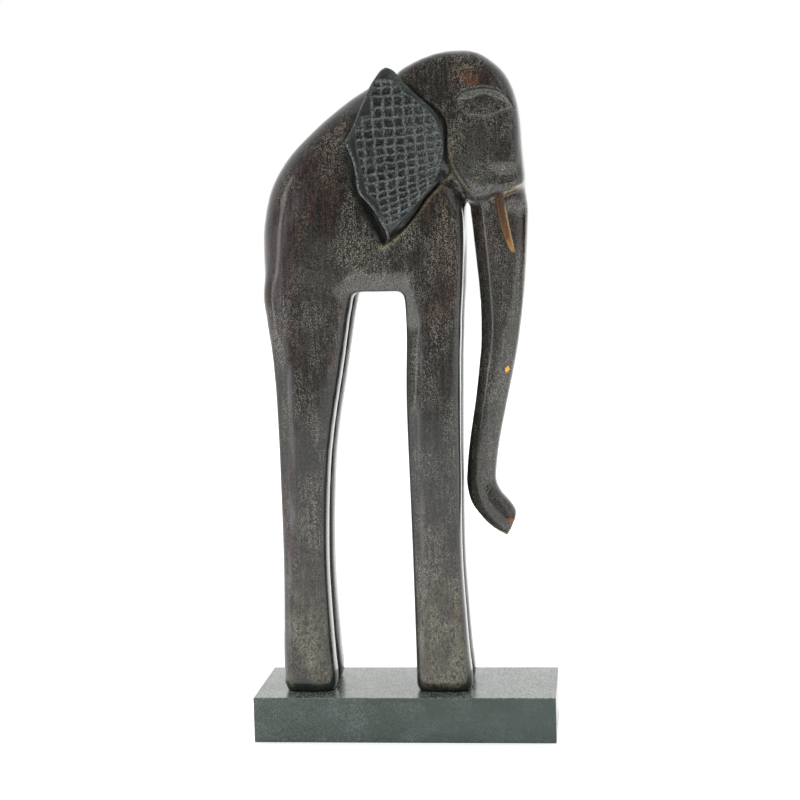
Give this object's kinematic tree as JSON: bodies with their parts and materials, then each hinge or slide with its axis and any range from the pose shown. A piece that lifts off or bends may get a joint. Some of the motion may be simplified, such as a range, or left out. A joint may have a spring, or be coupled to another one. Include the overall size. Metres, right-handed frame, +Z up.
{
  "type": "elephant figurine",
  "caption": "Tall, narrow elephant carved from dark stained wood, with chisel-pitted ears and honey-coloured tusks, standing on a painted block plinth",
  "frame": {"origin": "centre of the plinth's underside", "axes": "+X towards the trunk, +Y towards the elephant's left side, +Z up"},
  "size_m": [0.165, 0.067, 0.372],
  "materials": {
    "stained_wood": "dark brown-black stain, waxed and rubbed",
    "ear_wood": "matt greenish-black stain in chiselled wood",
    "dowel_wood": "bare dowel",
    "tusk_wood": "honey-coloured, waxed",
    "plinth_paint": "satin slate-green paint",
    "screw_steel": "zinc plated"
  },
  "bodies": {
    "root": {"carved_body": "stained_wood", "ear_left": "ear_wood", "ear_right": "ear_wood", "ear_peg_left": "dowel_wood", "ear_peg_right": "dowel_wood", "tusk_left": "tusk_wood", "tusk_right": "tusk_wood", "plinth": "plinth_paint", "foot_screw_front_left": "screw_steel", "foot_screw_front_right": "screw_steel", "foot_screw_hind_left": "screw_steel", "foot_screw_hind_right": "screw_steel"}
  },
  "joints": []
}
